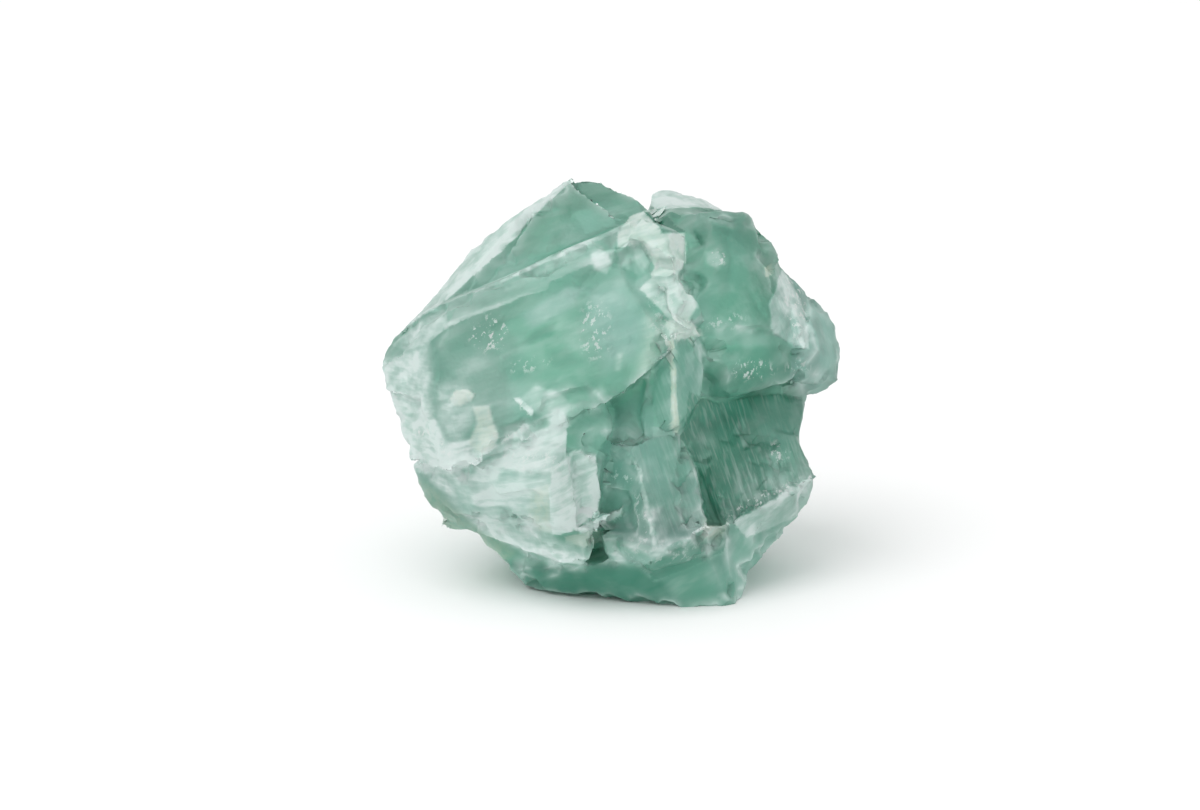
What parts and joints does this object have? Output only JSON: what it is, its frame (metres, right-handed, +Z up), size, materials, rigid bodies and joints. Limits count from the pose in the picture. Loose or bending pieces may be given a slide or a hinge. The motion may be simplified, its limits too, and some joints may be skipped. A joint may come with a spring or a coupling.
{
  "type": "rough fluorite specimen",
  "caption": "Rough lump of translucent green fluorite, broken along its cleavage into slabs, ledges and steps with frosted, chipped edges, resting on a flat base.",
  "frame": {"origin": "on the surface it rests on, under the middle of its bounding box", "axes": "+Z up, +X to the right as seen from the front, +Y away from the front towards the back"},
  "size_m": [0.0462, 0.0376, 0.0394],
  "materials": {
    "fluorite": "translucent pale green crystal, smooth on cleavage faces and frosted white on broken edges"
  },
  "bodies": {
    "root": {"fluorite": "fluorite"}
  },
  "joints": []
}
